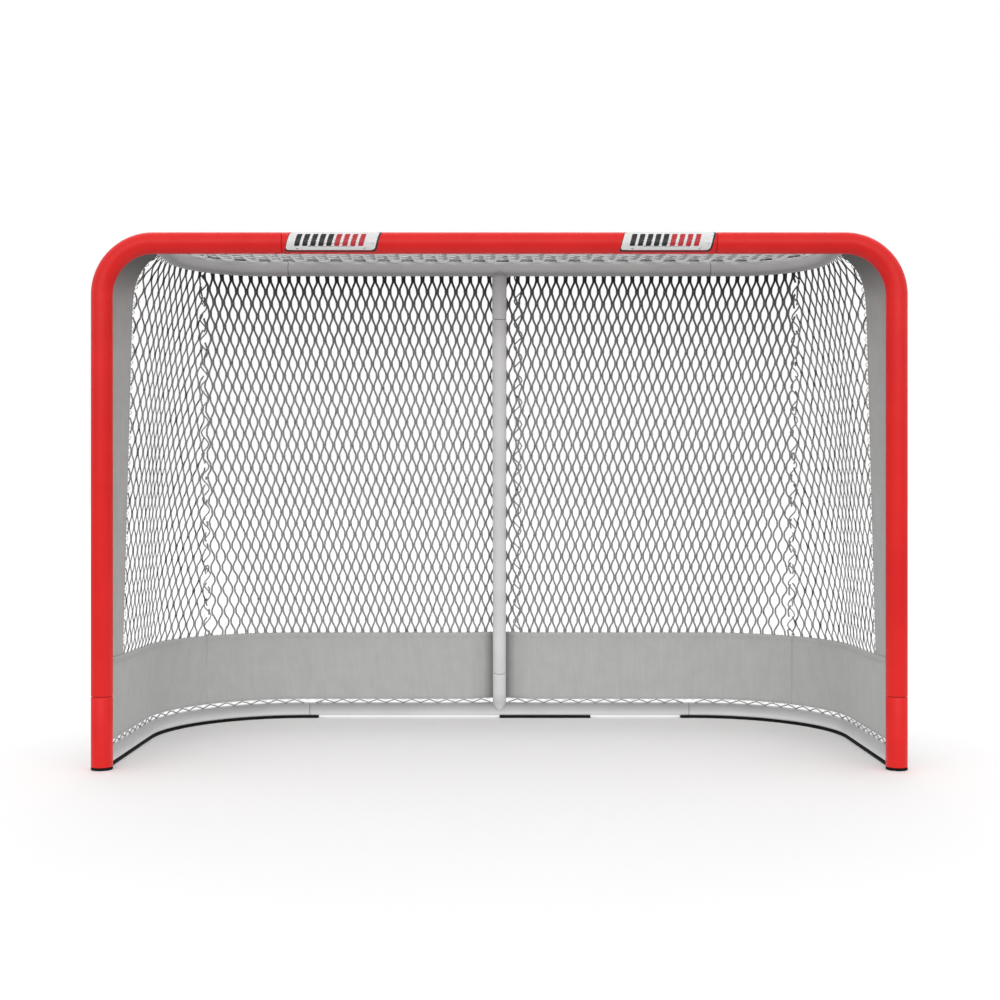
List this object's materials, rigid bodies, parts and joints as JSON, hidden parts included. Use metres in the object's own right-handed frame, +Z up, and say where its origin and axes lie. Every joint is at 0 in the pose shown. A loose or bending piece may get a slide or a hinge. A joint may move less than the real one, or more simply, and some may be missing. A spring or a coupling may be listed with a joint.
{
  "type": "ice hockey goal",
  "caption": "Knock-down steel tube ice hockey goal: red posts and crossbar, white base and top shelf, zigzag lacing rods, canvas skirt and diamond netting.",
  "frame": {"origin": "Centre of the bounding box, at its bottom: the floor under the middle of the goal", "axes": "+X runs along the crossbar from the left post to the right post as seen from the mouth, +Y from the mouth to the back of the net, +Z up"},
  "size_m": [1.9304, 0.8574, 1.27],
  "materials": {
    "red_paint": "gloss red powder coat",
    "white_paint": "satin white powder coat",
    "black_rubber": "matt black",
    "zinc_wire": "dull zinc",
    "zinc_steel": "bright zinc",
    "grey_canvas": "coated grey canvas",
    "net_cord": "braided grey nylon"
  },
  "bodies": {
    "root": {"left_lower_post": "red_paint", "right_lower_post": "red_paint", "left_top_corner": "red_paint", "right_top_corner": "red_paint", "crossbar": "red_paint", "left_post_foot": "black_rubber", "right_post_foot": "black_rubber", "left_base_corner": "white_paint", "right_base_corner": "white_paint", "base_centre_tee": "white_paint", "left_shelf_corner": "white_paint", "right_shelf_corner": "white_paint", "shelf_centre_tee": "white_paint", "centre_support": "white_paint", "left_floor_pad": "black_rubber", "right_floor_pad": "black_rubber", "centre_floor_pad": "black_rubber", "left_lower_post_rod": "zinc_wire", "right_lower_post_rod": "zinc_wire", "left_post_rod": "zinc_wire", "right_post_rod": "zinc_wire", "crossbar_rod": "zinc_wire", "left_crossbar_end_rod": "zinc_wire", "right_crossbar_end_rod": "zinc_wire", "left_base_rod": "zinc_wire", "right_base_rod": "zinc_wire", "left_centre_rod": "zinc_wire", "right_centre_rod": "zinc_wire", "left_skirt": "grey_canvas", "right_skirt": "grey_canvas", "back_skirt": "grey_canvas", "left_post_flap": "grey_canvas", "right_post_flap": "grey_canvas", "left_side_net": "net_cord", "right_side_net": "net_cord", "left_back_net": "net_cord", "right_back_net": "net_cord", "top_net": "net_cord", "left_post_bolt": "zinc_steel", "right_post_bolt": "zinc_steel", "left_crossbar_bolt": "zinc_steel", "right_crossbar_bolt": "zinc_steel", "left_base_bolt": "zinc_steel", "right_base_bolt": "zinc_steel", "left_shelf_bolt": "zinc_steel", "right_shelf_bolt": "zinc_steel"}
  },
  "joints": []
}
